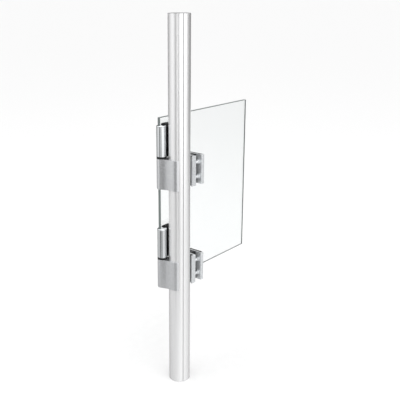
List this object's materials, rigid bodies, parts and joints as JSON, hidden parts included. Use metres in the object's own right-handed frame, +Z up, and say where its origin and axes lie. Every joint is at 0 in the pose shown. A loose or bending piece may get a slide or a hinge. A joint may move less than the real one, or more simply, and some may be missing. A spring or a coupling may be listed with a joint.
{
  "type": "lift-off glass door hinge on a round post",
  "caption": "Round aluminium post with lift-off hinges carrying a clear glass door leaf, and panel clamps behind.",
  "frame": {"origin": "centre of the threaded hole in the post's foot, at the foot's lower face", "axes": "+Z up the post, +Y along the door leaf at rest, +X towards the side that holds the fixed panel"},
  "size_m": [0.0712, 0.301, 0.734],
  "materials": {
    "anodised_aluminium": "satin anodised",
    "cast_aluminium": "fine matt cast",
    "turned_aluminium": "bright turned",
    "zinc_steel": "zinc plated",
    "turned_steel": "turned",
    "black_plastic": "fine moulded grain",
    "soft_rubber": "matt",
    "clear_glass": "clear, ground edges"
  },
  "bodies": {
    "frame": {"post_tube": "anodised_aluminium", "post_cover": "anodised_aluminium", "foot_insert": "turned_steel", "lower_frame_leaf": "cast_aluminium", "lower_hinge_pin": "turned_steel", "lower_frame_bolts": "turned_steel", "lower_saddle": "black_plastic", "lower_bracket": "zinc_steel", "lower_spacer": "black_plastic", "lower_jaw": "zinc_steel", "lower_jaw_core": "black_plastic", "lower_panel_screws": "zinc_steel", "upper_frame_leaf": "cast_aluminium", "upper_hinge_pin": "turned_steel", "upper_frame_bolts": "turned_steel", "upper_saddle": "black_plastic", "upper_bracket": "zinc_steel", "upper_spacer": "black_plastic", "upper_jaw": "zinc_steel", "upper_jaw_core": "black_plastic", "upper_panel_screws": "zinc_steel"},
    "door": {"glass_panel": "clear_glass", "lower_bush": "black_plastic", "lower_barrel": "turned_aluminium", "lower_barrel_cap": "turned_aluminium", "lower_carrier": "black_plastic", "lower_inner_gasket": "soft_rubber", "lower_outer_gasket": "soft_rubber", "lower_clamp_plate": "turned_aluminium", "lower_clamp_screws": "turned_steel", "upper_bush": "black_plastic", "upper_barrel": "turned_aluminium", "upper_barrel_cap": "turned_aluminium", "upper_carrier": "black_plastic", "upper_inner_gasket": "soft_rubber", "upper_outer_gasket": "soft_rubber", "upper_clamp_plate": "turned_aluminium", "upper_clamp_screws": "turned_steel"}
  },
  "joints": [
    {"name": "door_swing", "type": "hinge", "parent": "frame", "child": "door", "pos_m": [-0.0258, -0.0217, 0.3], "axis": [0, 0, 1], "range_deg": [0, 180]}
  ]
}
